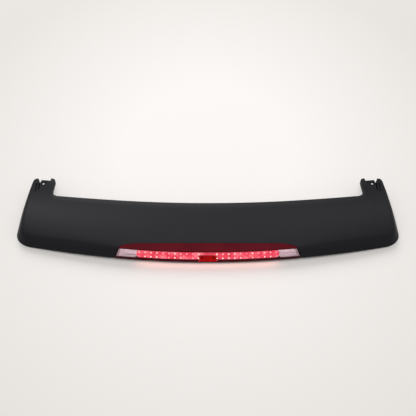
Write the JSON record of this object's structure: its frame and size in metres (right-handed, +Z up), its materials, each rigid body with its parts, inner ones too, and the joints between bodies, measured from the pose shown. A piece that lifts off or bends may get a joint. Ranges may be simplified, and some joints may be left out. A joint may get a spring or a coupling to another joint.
{
  "type": "car rear spoiler",
  "caption": "Curved hatchback roof spoiler with forward ears and a red brake lamp set in its trailing edge.",
  "frame": {"origin": "middle of the part's bounding box in plan, on the ground plane that the rear corners and the four mounting seals touch", "axes": "+X across the car, +Y towards the front of the car, where the ears point, +Z up"},
  "size_m": [1.13, 0.332, 0.0595],
  "materials": {
    "satin_black": "satin, primed ABS",
    "grained_black": "fine grain, unpainted ABS",
    "dark_red": "gloss",
    "pink_clear": "clear, faintly pink",
    "lit_red": "pillowed, translucent red",
    "metallised": "mirror bright",
    "tray_black": "matt",
    "board_green": "solder mask",
    "led_white": "satin",
    "brass": "turned",
    "foam_grey": "closed-cell foam",
    "dark_steel": "black zinc",
    "steel": "zinc plated",
    "seal_rubber": "soft",
    "rubber_black": "soft"
  },
  "bodies": {
    "root": {"upper_shell": "satin_black", "lower_shell": "grained_black", "lens_frame": "dark_red", "lens_window": "pink_clear", "lamp_optic": "lit_red", "lamp_reflector": "metallised", "lamp_housing": "tray_black", "led_board": "board_green", "leds": "led_white", "lamp_socket": "tray_black", "socket_pins": "brass", "lamp_gasket": "foam_grey", "block_screws": "dark_steel", "lamp_screws": "steel", "thread_inserts": "brass", "dome_seals": "foam_grey", "front_seal": "seal_rubber", "front_clips": "steel", "ear_grommets": "rubber_black", "cable_grommet": "rubber_black", "shell_screws": "steel", "foam_pads": "foam_grey"}
  },
  "joints": []
}
